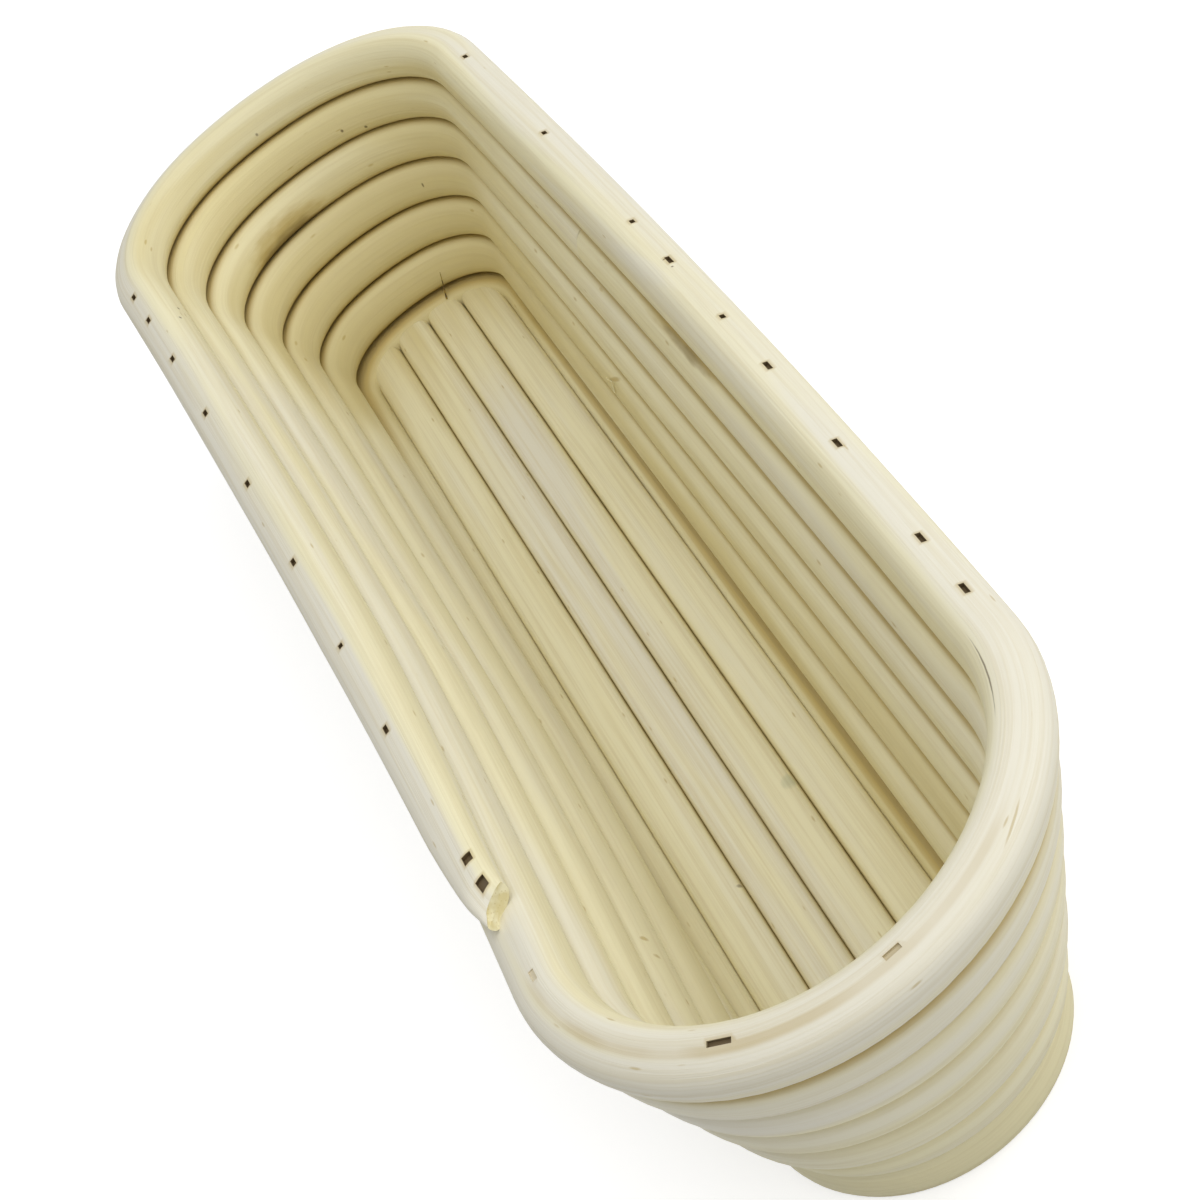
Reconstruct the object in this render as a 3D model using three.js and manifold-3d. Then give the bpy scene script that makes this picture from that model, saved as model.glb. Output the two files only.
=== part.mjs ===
// Baguette proofing basket, wound from rattan cane and fastened with small steel brads.
// Millimetres, +Z up. +X runs along the basket, towards the end where the winding climbs.
// Origin: on the table, under the middle of the basket's outline.
import * as THREE from 'three';
import { mergeVertices } from 'three/addons/utils/BufferGeometryUtils.js';
import Module from 'manifold-3d';

const wasm = await Module();
wasm.setup();

// Floor: straight cane slats inside a ring of the wall's cane
const SLAT_COUNT = 4;
const SLAT_DIAMETER = 9.6;
const SLAT_GAP = 0.4; // between neighbours, and to the ring's long sides
const SLAT_END_GAP = 0.3; // around the ring, where a slat's end is hollowed to fit it
const FLOOR_LENGTH = 334; // over the outside of the ring
const CORNER_RADIUS = 20.9; // centre line of the ring, at its two far corners; its near end is half round
const END_ANGLE = 14.9; // degrees, half the arc of the ring's bowed far end
const SANDED_FLAT = 0.5; // taken off under the floor, where it stands
const RING_BUTT_Y = 8; // where the ring's two ends meet, at the far end
const BUTT_GAP = 0.5; // between cane ends that meet

// Wall: one winding of six turns
const CANE_DIAMETER = 10.5;
const WALL_TURNS = 6;
const TURN_GAP = 0.79; // between a turn and the next
const TURN_LEAN = 3.6; // how far out each turn lies from the one below
const RIM_BOW = 2.8; // sideways bow of the hand-bent rim, at mid length
const RIM_SWAY = 4; // sideways drift of the rim at its two ends
const CLIMB_RUN = 110; // on the left side, before the near end, where each turn starts to climb on to itself
const CLIMB_EASING = 0.4; // 0 is an even climb, 1 starts and ends level
const START_TIP = 2; // thickness at the pared start of the first turn
const SCARF_TIP = 5; // thickness at the pared end of the last turn
const SCARF_SLANT = 3; // how far the pared end's outer edge runs past its middle
const WALL_BUTT = 0.687; // share of the right side, where a second length of cane takes over
const WALL_BUTT_DEPTH = 1; // turns below the rim

// Brads: flat pins with a T head, set below the cane's surface
const BRAD_LENGTH = 15.5;
const BRAD_WIDTH = 1.2;
const BRAD_THICKNESS = 1;
const BRAD_HEAD_WIDTH = 2;
const BRAD_HEAD_DEPTH = 1;
const BRAD_RECESS = 1;
const BRAD_CLEARANCE = 0.3;
const POCKET_BREAK = 0.25; // how far a brad's pocket runs past the cane's surface
const RIM_BRADS_RIGHT = [0.032, 0.094, 0.221, 0.337, 0.42, 0.518, 0.594, 0.782, 0.97]; // shares of the side
const RIM_BRADS_LEFT = [0.019, 0.069, 0.149, 0.254, 0.38, 0.507, 0.631, 0.739];
const RIM_BRADS_NEAR = [0.5, 26.1, 43.1]; // along the ring from the start of the near end
const SCARF_BRADS = [10.5, 3]; // back from the pared end
const WALL_BRAD_RIGHT = 0.89; // share of the side, before the step from turn to turn
const WALL_BRAD_LEFT = 0.436;
const WALL_BRAD_STEP = 8; // so that no brad stands over another

// Facets
const CANE_SIDES = 8;
const NEAR_STEPS = 14;
const CORNER_STEPS = 6;
const END_STEPS = 2;
const RIGHT_STEPS = 8;
const LEFT_STEPS = 4;
const CLIMB_STEPS = 6;
const SLAT_SIDES = 16;
const OUTLINE_STEPS = 12; // for each arc of the floor's outline
const WELD_DISTANCE = 1e-4; // within which points of a solid are one

// Finishes
const CANE_FINISH = { color: 0xe3d6ae, roughness: 0.65, metalness: 0 };
const SLAT_FINISH = { color: 0xd8c893, roughness: 0.7, metalness: 0 };
const BRAD_FINISH = { color: 0x4a4136, roughness: 0.5, metalness: 0.8 };

// Sizes that follow from the ones above
const caneRadius = CANE_DIAMETER / 2;
const slatRadius = SLAT_DIAMETER / 2;
const slatPitch = SLAT_DIAMETER + SLAT_GAP;
const turnPitch = CANE_DIAMETER + TURN_GAP;
const turnRise = Math.sqrt(turnPitch * turnPitch - TURN_LEAN * TURN_LEAN);
const ringHeight = caneRadius - SANDED_FLAT;
const slatHeight = slatRadius - SANDED_FLAT;
const ringHalfWidth = (SLAT_COUNT * slatPitch + SLAT_GAP) / 2 + caneRadius;
const ringHalfLength = (FLOOR_LENGTH - CANE_DIAMETER) / 2;
const cornerRadius = Math.min(CORNER_RADIUS, ringHalfWidth - caneRadius / 2);
const cornerY = ringHalfWidth - cornerRadius;
const endAngle = THREE.MathUtils.degToRad(END_ANGLE);
const endRadius = cornerRadius + cornerY / Math.sin(endAngle);
const endCentreX = ringHalfLength - endRadius;
const cornerX = endCentreX + (endRadius - cornerRadius) * Math.cos(endAngle);
const nearX = ringHalfLength - ringHalfWidth;
const climbX = nearX - CLIMB_RUN;

// Plan of the ring's centre line: straight sides, a half round near end, and a bowed far end with round
// corners, taken counter-clockwise from the place where the turns climb. A station is a point on it and
// the way out from it.
function straight(fromX, toX, y, steps) {
  const length = Math.abs(toX - fromX);
  const out = Math.sign(y);
  const at = (t) => ({ x: THREE.MathUtils.lerp(fromX, toX, t), y, nx: 0, ny: out });
  return { length, steps, at };
}

function arc(cx, cy, radius, fromAngle, toAngle, steps) {
  const length = radius * (toAngle - fromAngle);
  const at = (t) => {
    const angle = THREE.MathUtils.lerp(fromAngle, toAngle, t);
    const nx = Math.cos(angle);
    const ny = Math.sin(angle);
    return { x: cx + radius * nx, y: cy + radius * ny, nx, ny };
  };
  return { length, steps, at };
}

const quarterTurn = Math.PI / 2;
const halfTurn = Math.PI;
const plan = {
  climb: straight(climbX, nearX, -ringHalfWidth, CLIMB_STEPS),
  nearEnd: arc(nearX, 0, ringHalfWidth, -quarterTurn, quarterTurn, NEAR_STEPS),
  right: straight(nearX, -cornerX, ringHalfWidth, RIGHT_STEPS),
  farRight: arc(-cornerX, cornerY, cornerRadius, quarterTurn, halfTurn - endAngle, CORNER_STEPS),
  farEnd: arc(-endCentreX, 0, endRadius, halfTurn - endAngle, halfTurn + endAngle, END_STEPS),
  farLeft: arc(-cornerX, -cornerY, cornerRadius, halfTurn + endAngle, halfTurn + quarterTurn, CORNER_STEPS),
  left: straight(-cornerX, climbX, -ringHalfWidth, LEFT_STEPS),
};
const stretches = Object.values(plan);
let loopLength = 0;
for (const stretch of stretches) {
  stretch.start = loopLength;
  loopLength += stretch.length;
}
const climbLength = plan.climb.length + plan.nearEnd.length;
const leftSide = plan.left.length + plan.climb.length;

function wrap(s) {
  return s - loopLength * Math.floor(s / loopLength);
}

function stationAt(s) {
  const local = wrap(s);
  let found = stretches[0];
  for (const stretch of stretches) {
    if (local >= stretch.start) found = stretch;
  }
  return found.at((local - found.start) / found.length);
}

// Distances along the loop from one place to another, with every facet line that lies between them
function stepsBetween(from, to) {
  const least = CANE_DIAMETER / 4;
  const list = [from];
  for (let loop = Math.floor(from / loopLength); loop * loopLength < to; loop += 1) {
    for (const stretch of stretches) {
      for (let i = 0; i < stretch.steps; i += 1) {
        const s = loop * loopLength + stretch.start + (stretch.length * i) / stretch.steps;
        if (s > from + least && s < to - least) list.push(s);
      }
    }
  }
  list.push(to);
  return list;
}

const onRight = (share) => plan.right.start + plan.right.length * share;
const onLeft = (share) => plan.left.start + leftSide * share;

// A cane's centre at a station, at a level counted in turns above the floor ring
function caneCentre(station, level) {
  const x = station.x + station.nx * TURN_LEAN * level;
  const y = station.y + station.ny * TURN_LEAN * level;
  const along = x / ringHalfLength;
  const drift = RIM_BOW * (1 - along * along) + RIM_SWAY * along;
  return new THREE.Vector3(x, y + (drift * level) / WALL_TURNS, ringHeight + turnRise * level);
}

function stackDirection(station, level) {
  return caneCentre(station, level + 1).sub(caneCentre(station, level)).normalize();
}

// How much of one turn's step has been climbed at a place on the loop
function climbed(local) {
  const t = Math.min(local / climbLength, 1);
  return THREE.MathUtils.lerp(t, THREE.MathUtils.smoothstep(t, 0, 1), CLIMB_EASING);
}

// The winding at a distance from the start of its first climb. The first climb is pared to a wedge
// between the ring and the next turn, and the last turn ends in a wedge on top of its own climb.
function woundSection(s) {
  const station = stationAt(s);
  const turn = Math.floor(s / loopLength);
  const share = climbed(wrap(s));
  let level = turn + share;
  let thickness = CANE_DIAMETER;
  if (turn === 0) {
    level = (1 + share) / 2;
    thickness = CANE_DIAMETER * share - TURN_GAP * (1 - share);
  }
  if (turn === WALL_TURNS) {
    thickness = turnPitch * (1 - share) - TURN_GAP;
    level = WALL_TURNS + (CANE_DIAMETER - thickness) / (2 * turnPitch);
  }
  const centre = caneCentre(station, level);
  const stack = stackDirection(station, level);
  const wide = (caneRadius + thickness / 2) / 2;
  return { s, centre, stack, high: thickness / 2, wide, level };
}

function ringSection(s) {
  const station = stationAt(s);
  const centre = caneCentre(station, 0);
  const stack = new THREE.Vector3(0, 0, 1);
  return { s, centre, stack, high: caneRadius, wide: caneRadius, level: 0 };
}

// A closed tube through a list of sections, its last end cut at a slant if asked
function tube(sections, slant = 0) {
  const positions = [];
  const indices = [];
  const last = sections.length - 1;
  const tangent = new THREE.Vector3();
  const side = new THREE.Vector3();
  const up = new THREE.Vector3();
  const point = new THREE.Vector3();
  sections.forEach((section, i) => {
    const before = sections[Math.max(i - 1, 0)].centre;
    const after = sections[Math.min(i + 1, last)].centre;
    tangent.subVectors(after, before).normalize();
    side.crossVectors(tangent, section.stack).normalize();
    up.crossVectors(side, tangent);
    for (let j = 0; j < CANE_SIDES; j += 1) {
      const angle = (2 * Math.PI * j) / CANE_SIDES;
      point.copy(section.centre);
      point.addScaledVector(up, section.high * Math.cos(angle));
      point.addScaledVector(side, section.wide * Math.sin(angle));
      if (i === last) point.addScaledVector(tangent, slant * Math.sin(angle));
      positions.push(point.x, point.y, point.z);
    }
  });
  for (let i = 0; i < last; i += 1) {
    for (let j = 0; j < CANE_SIDES; j += 1) {
      const a = i * CANE_SIDES + j;
      const b = i * CANE_SIDES + ((j + 1) % CANE_SIDES);
      indices.push(a, b, a + CANE_SIDES, b, b + CANE_SIDES, a + CANE_SIDES);
    }
  }
  const startCentre = sections.length * CANE_SIDES;
  const endRing = last * CANE_SIDES;
  positions.push(...sections[0].centre.toArray(), ...sections[last].centre.toArray());
  for (let j = 0; j < CANE_SIDES; j += 1) {
    const next = (j + 1) % CANE_SIDES;
    indices.push(startCentre, next, j);
    indices.push(startCentre + 1, endRing + j, endRing + next);
  }
  const geometry = new THREE.BufferGeometry();
  geometry.setAttribute('position', new THREE.Float32BufferAttribute(positions, 3));
  geometry.setIndex(indices);
  return geometry;
}

// Solids for cutting, and back to geometry
function solidOf(geometry) {
  const bare = geometry.clone();
  bare.deleteAttribute('normal');
  bare.deleteAttribute('uv');
  const merged = mergeVertices(bare, WELD_DISTANCE);
  const vertProperties = new Float32Array(merged.attributes.position.array);
  const triVerts = new Uint32Array(merged.index.array);
  return new wasm.Manifold(new wasm.Mesh({ numProp: 3, vertProperties, triVerts }));
}

function geometryOf(solid) {
  const mesh = solid.getMesh();
  const geometry = new THREE.BufferGeometry();
  geometry.setAttribute('position', new THREE.BufferAttribute(mesh.vertProperties, 3));
  geometry.setIndex(new THREE.BufferAttribute(mesh.triVerts, 1));
  geometry.computeVertexNormals();
  return geometry;
}

function cut(geometry, tools) {
  let solid = solidOf(geometry);
  for (const tool of tools) solid = solid.subtract(solidOf(tool));
  return geometryOf(solid);
}

// What is sanded away under the floor
const sanding = new THREE.BoxGeometry(FLOOR_LENGTH * 2, FLOOR_LENGTH, CANE_DIAMETER);
sanding.translate(0, 0, -CANE_DIAMETER / 2);

// Brads: drawn in X (along the cane's grain) and Z (the way it is driven), with the head's top at 0
function bradShape(ease, headTop) {
  const shank = BRAD_WIDTH / 2 + ease;
  const head = BRAD_HEAD_WIDTH / 2 + ease;
  const neck = -BRAD_HEAD_DEPTH - ease;
  const tip = -BRAD_LENGTH - ease;
  const outline = [
    [-shank, tip], [shank, tip], [shank, neck], [head, neck],
    [head, headTop], [-head, headTop], [-head, neck], [-shank, neck],
  ];
  const shape = new THREE.Shape(outline.map(([x, z]) => new THREE.Vector2(x, z)));
  const depth = BRAD_THICKNESS + 2 * ease;
  const geometry = new THREE.ExtrudeGeometry(shape, { depth, bevelEnabled: false });
  geometry.translate(0, 0, -depth / 2);
  geometry.rotateX(quarterTurn);
  return geometry;
}

// Places a brad by its head's top, the way it points up and the cane's grain
function placed(geometry, top, up, grain) {
  const across = new THREE.Vector3().crossVectors(up, grain).normalize();
  const along = new THREE.Vector3().crossVectors(across, up);
  const frame = new THREE.Matrix4().makeBasis(along, across, up).setPosition(top);
  return geometry.clone().applyMatrix4(frame);
}

const brads = [];
function addBrad(name, top, up, grain) {
  const brad = placed(bradShape(0, 0), top, up, grain);
  const pocket = placed(bradShape(BRAD_CLEARANCE, BRAD_RECESS + POCKET_BREAK), top, up, grain);
  brads.push({ name, brad, pocket });
}

// A brad through one turn of the winding into the turn below it
function addWallBrad(name, s) {
  const section = woundSection(s);
  const ahead = woundSection(s + BRAD_HEAD_WIDTH);
  const grain = new THREE.Vector3().subVectors(ahead.centre, section.centre).normalize();
  const top = section.centre.clone().addScaledVector(section.stack, section.high - BRAD_RECESS);
  addBrad(name, top, section.stack, grain);
}

const numbered = (name, number) => `${name}_${String(number).padStart(2, '0')}`;
let windingStart = 0;
while (woundSection(windingStart).high * 2 < START_TIP) windingStart += 1;
let windingEnd = WALL_TURNS * loopLength;
while (woundSection(windingEnd).high * 2 > SCARF_TIP) windingEnd += 1;

const rimLoop = (WALL_TURNS - 1) * loopLength;
const rimBradPlaces = [
  ...RIM_BRADS_RIGHT.map((share) => rimLoop + onRight(share)),
  ...RIM_BRADS_LEFT.map((share) => rimLoop + onLeft(share)),
  ...RIM_BRADS_NEAR.map((distance) => rimLoop + plan.nearEnd.start + distance),
  ...SCARF_BRADS.map((distance) => windingEnd - distance),
];
rimBradPlaces.forEach((s, i) => addWallBrad(numbered('rim_brad', i + 1), s));

const wallBradPlaces = [];
for (let turn = 1; turn < WALL_TURNS; turn += 1) {
  const turnLoop = (turn - 1) * loopLength;
  const shift = turn * WALL_BRAD_STEP;
  wallBradPlaces.push(turnLoop + onRight(WALL_BRAD_RIGHT) - shift);
  wallBradPlaces.push(turnLoop + onLeft(WALL_BRAD_LEFT) + shift);
}
wallBradPlaces.forEach((s, i) => addWallBrad(numbered('wall_brad', i + 1), s));

// Brads through the ring into the slats' ends
const slatY = (index) => (index - (SLAT_COUNT - 1) / 2) * slatPitch;
const nearArc = { x: nearX, y: 0, radius: ringHalfWidth };
const farArc = { x: endCentreX, y: 0, radius: endRadius };
const farCorner = { x: cornerX, y: cornerY, radius: cornerRadius };
for (let index = 0; index < SLAT_COUNT; index += 1) {
  const y = slatY(index);
  const across = Math.abs(y);
  const far = across <= endRadius * Math.sin(endAngle) ? farArc : farCorner;
  for (const end of [1, -1]) {
    const round = end > 0 ? nearArc : far;
    const angle = Math.asin((across - round.y) / round.radius);
    const skin = caneRadius / Math.cos(angle) - (BRAD_HEAD_WIDTH / 2) * Math.tan(angle);
    const reach = round.x + round.radius * Math.cos(angle) + skin;
    const top = new THREE.Vector3(end * (reach - BRAD_RECESS), y, ringHeight);
    const name = numbered('slat_brad', index * 2 + (end > 0 ? 1 : 2));
    addBrad(name, top, new THREE.Vector3(end, 0, 0), new THREE.Vector3(0, 1, 0));
  }
}
const pockets = brads.map((brad) => brad.pocket);

// Canes
const ringButt = plan.farEnd.start + endRadius * (endAngle - Math.asin(RING_BUTT_Y / endRadius));
const ringSteps = stepsBetween(ringButt + BUTT_GAP / 2, ringButt + loopLength - BUTT_GAP / 2);
const ringSections = ringSteps.map(ringSection);

const wallButt = rimLoop - WALL_BUTT_DEPTH * loopLength + onRight(WALL_BUTT);
const lowerSections = stepsBetween(windingStart, wallButt - BUTT_GAP / 2).map(woundSection);
const upperSections = stepsBetween(wallButt + BUTT_GAP / 2, windingEnd).map(woundSection);

// Least gap from one cane to itself or to another, on the points of their centre lines
function leastGap(sections, others, apart) {
  const line = new THREE.Line3();
  const nearest = new THREE.Vector3();
  let least = Infinity;
  for (const section of sections) {
    for (let i = 1; i < others.length; i += 1) {
      const near = Math.min(Math.abs(others[i].s - section.s), Math.abs(others[i - 1].s - section.s));
      if (near < apart) continue;
      line.set(others[i - 1].centre, others[i].centre);
      const t = line.closestPointToPointParameter(section.centre, true);
      const high = THREE.MathUtils.lerp(others[i - 1].high, others[i].high, t);
      const distance = line.at(t, nearest).distanceTo(section.centre);
      least = Math.min(least, distance - section.high - high);
    }
  }
  return least;
}
const lowerGap = leastGap(lowerSections, lowerSections, loopLength / 2);
const upperGap = leastGap(upperSections, upperSections, loopLength / 2);
const betweenGap = leastGap(upperSections, lowerSections, loopLength / 2);
console.log(`least gap, lower cane to itself: ${lowerGap.toFixed(2)} mm`);
console.log(`least gap, upper cane to itself: ${upperGap.toFixed(2)} mm`);
console.log(`least gap, upper cane to lower cane: ${betweenGap.toFixed(2)} mm`);

// Floor slats: straight canes, trimmed to the ring's centre line and hollowed to fit it
function floorOutline() {
  const outline = new THREE.Shape();
  outline.moveTo(nearX, -ringHalfWidth);
  outline.absarc(nearX, 0, ringHalfWidth, -quarterTurn, quarterTurn);
  outline.lineTo(-cornerX, ringHalfWidth);
  outline.absarc(-cornerX, cornerY, cornerRadius, quarterTurn, halfTurn - endAngle);
  outline.absarc(-endCentreX, 0, endRadius, halfTurn - endAngle, halfTurn + endAngle);
  outline.absarc(-cornerX, -cornerY, cornerRadius, halfTurn + endAngle, halfTurn + quarterTurn);
  return outline;
}

// The space that the ring takes from one place on the loop to another, with the slats' gap round it
function ringSpace(from, to) {
  const size = caneRadius + SLAT_END_GAP;
  const sections = stepsBetween(from, to).map(ringSection);
  return tube(sections.map((section) => ({ ...section, high: size, wide: size })));
}
const floorSpace = new THREE.ExtrudeGeometry(floorOutline(), {
  depth: SLAT_DIAMETER,
  bevelEnabled: false,
  curveSegments: OUTLINE_STEPS,
});
const slatCuts = [
  ringSpace(ringButt + BUTT_GAP / 2, ringButt + loopLength - BUTT_GAP / 2),
  ringSpace(ringButt - caneRadius, ringButt + caneRadius),
  sanding,
  ...pockets,
];

function floorSlat(index) {
  const slat = new THREE.CylinderGeometry(slatRadius, slatRadius, FLOOR_LENGTH, SLAT_SIDES);
  slat.rotateZ(quarterTurn);
  slat.translate(0, slatY(index), slatHeight);
  const trimmed = solidOf(slat).intersect(solidOf(floorSpace));
  return cut(geometryOf(trimmed), slatCuts);
}

// Assembly
const basket = new THREE.Group();
function addPiece(name, geometry, finish) {
  const mesh = new THREE.Mesh(geometry, new THREE.MeshStandardMaterial(finish));
  mesh.name = name;
  basket.add(mesh);
}

for (let index = 0; index < SLAT_COUNT; index += 1) {
  addPiece(`floor_slat_${index + 1}`, floorSlat(index), SLAT_FINISH);
}
addPiece('floor_ring', cut(tube(ringSections), [sanding, ...pockets]), CANE_FINISH);
addPiece('wall_cane_lower', cut(tube(lowerSections), pockets), CANE_FINISH);
addPiece('wall_cane_upper', cut(tube(upperSections, SCARF_SLANT), pockets), CANE_FINISH);
for (const { name, brad } of brads) addPiece(name, brad, BRAD_FINISH);

const middle = new THREE.Box3().setFromObject(basket).getCenter(new THREE.Vector3());
basket.position.set(-middle.x, -middle.y, 0);

export default basket;
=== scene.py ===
"""Baguette proofing basket wound from rattan cane, modelled round its CAD frame, with its studio."""

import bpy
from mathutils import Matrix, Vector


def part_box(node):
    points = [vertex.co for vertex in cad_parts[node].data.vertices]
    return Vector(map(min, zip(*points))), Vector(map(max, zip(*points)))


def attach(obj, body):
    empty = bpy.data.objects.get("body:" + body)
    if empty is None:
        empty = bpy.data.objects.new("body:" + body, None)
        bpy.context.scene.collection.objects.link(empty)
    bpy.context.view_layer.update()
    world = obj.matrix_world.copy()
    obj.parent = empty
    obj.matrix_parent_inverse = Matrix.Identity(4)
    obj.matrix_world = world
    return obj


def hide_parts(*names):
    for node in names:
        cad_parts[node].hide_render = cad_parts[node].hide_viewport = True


bl_info = {
    "name": "Baguette proofing basket",
    "version": (1, 0, 0),
    "blender": (4, 5, 0),
    "location": "3D View > Sidebar > Basket",
    "description": "Winds a long cane basket, lays its floor and sets up a plain studio",
    "category": "Object",
}

import math
from collections import namedtuple
from functools import partial

import bmesh
import bpy
from bpy.props import FloatProperty, FloatVectorProperty, IntProperty, PointerProperty
from mathutils import Matrix, Vector, noise

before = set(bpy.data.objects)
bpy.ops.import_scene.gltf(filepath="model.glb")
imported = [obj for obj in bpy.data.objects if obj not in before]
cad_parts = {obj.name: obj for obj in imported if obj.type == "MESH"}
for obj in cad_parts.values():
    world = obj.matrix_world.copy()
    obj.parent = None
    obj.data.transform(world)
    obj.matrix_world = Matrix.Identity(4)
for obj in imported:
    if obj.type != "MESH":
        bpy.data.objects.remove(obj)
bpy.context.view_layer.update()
RING_LOW, RING_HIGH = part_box("floor_ring")
MIDDLE = Vector(((RING_LOW.x + RING_HIGH.x) / 2, (RING_LOW.y + RING_HIGH.y) / 2, 0))
MM = 0.001

# Facets of the modelled canes
CANE_SIDES = 32
SLAT_SIDES = 40
STRAIGHT_STEP = 4 * MM
FINE_STEP = 1 * MM
NEAR_STEPS = 44
CORNER_STEPS = 18
END_STEPS = 8
SLAT_STEPS = 60

# A cane's section: distance wound, centre, the way to the turn above, and half its height and width
Section = namedtuple("Section", "s centre stack high wide")


def metres(name, description, default):
    """A length that a user can change."""
    return FloatProperty(name=name, description=description, default=default, unit="LENGTH", precision=5)


def portion(name, description, default):
    """A share from 0 to 1 that a user can change."""
    return FloatProperty(name=name, description=description, default=default, subtype="FACTOR", min=0, max=1)


def tint(name, description, default):
    """A colour that a user can change."""
    return FloatVectorProperty(
        name=name, description=description, default=default, subtype="COLOR", min=0, max=1)


class BasketSizes(bpy.types.PropertyGroup):
    """Sizes of the basket, which repeat the CAD model's"""

    cane_diameter: metres("Cane diameter", "Thickness of the wall's cane", 10.5 * MM)
    floor_length: metres("Floor length", "Over the floor ring's outside", RING_HIGH.x - RING_LOW.x)
    floor_width: metres("Floor width", "Over the floor ring's outside", RING_HIGH.y - RING_LOW.y)
    corner_radius: metres("Corner radius", "Of the ring's centre line, at its two far corners", 20.9 * MM)
    end_angle: FloatProperty(
        name="End angle", description="Half the arc of the bowed far end",
        default=math.radians(14.9), unit="ROTATION")
    sanded_flat: metres("Sanded flat", "Taken off under the floor", 0.5 * MM)
    wall_turns: IntProperty(name="Turns", description="Turns of the wall's winding", default=6)
    turn_gap: metres("Turn gap", "Between the CAD turns, closed by the cane's swell", 0.79 * MM)
    turn_lean: metres("Turn lean", "How far out each turn lies from the one below", 3.6 * MM)
    rim_bow: metres("Rim bow", "Sideways bow of the rim at mid length", 2.8 * MM)
    rim_sway: metres("Rim sway", "Sideways drift of the rim at its two ends", 4 * MM)
    climb_run: metres("Climb run", "Part of the left side where each turn starts to climb", 110 * MM)
    climb_easing: portion("Climb easing", "0 is an even climb, 1 starts and ends level", 0.4)
    start_tip: metres("Start tip", "Thickness at the pared start of the first turn", 2.0 * MM)
    scarf_tip: metres("Scarf tip", "Thickness at the pared end of the last turn", 5.0 * MM)
    scarf_slant: metres("Scarf slant", "How far the pared end's outer edge runs past its middle", 3.0 * MM)
    wall_butt: portion("Wall butt", "Share of the right side where the second length takes over", 0.687)
    ring_butt_y: metres("Ring butt", "Where the ring's two ends meet, across the far end", 8 * MM)
    butt_gap: metres("Butt gap", "Between cane ends that meet", 0.5 * MM)
    slat_count: IntProperty(name="Slats", description="Straight canes in the floor", default=4)
    slat_pitch: metres("Slat pitch", "From one slat to the next", 10 * MM)
    slat_height: metres("Slat height", "Of the sanded slats", 9.1 * MM)
    slot_length: metres("Slot length", "Of a common slot over a brad, along the grain", 3.0 * MM)
    slot_depth: metres("Slot depth", "Of a slot at its deepest, down to the brad's head", 0.85 * MM)


class BasketColours(bpy.types.PropertyGroup):
    """Colours of the basket and its studio"""

    cream: tint("Cream", "Peeled cane where it is lightest", (0.755, 0.722, 0.602))
    # Straw and honey are also painted on as shade: darker and yellower low inside, on the right and at the
    # far end
    straw: tint("Straw", "Peeled cane where it is yellower", (0.795, 0.742, 0.50))
    honey: tint("Honey", "Older, yellower cane low inside the basket", (0.68, 0.598, 0.32))
    fibre: tint("Fibre", "Darker fibres along the cane", (0.60, 0.51, 0.29))
    # Ochre and umber are also painted into the creases between canes, as shade together with dust
    ochre: tint("Ochre", "Dust and flour in the cracks", (0.43, 0.30, 0.06))
    umber: tint("Umber", "Slots, splits and old stains", (0.11, 0.072, 0.028))
    moss: tint("Moss", "Greenish stain on the floor", (0.36, 0.40, 0.26))
    steel: tint("Steel", "Dulled brads", (0.06, 0.05, 0.04))
    table: tint("Table", "Pale table under the basket", (0.60, 0.60, 0.60))


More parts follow.
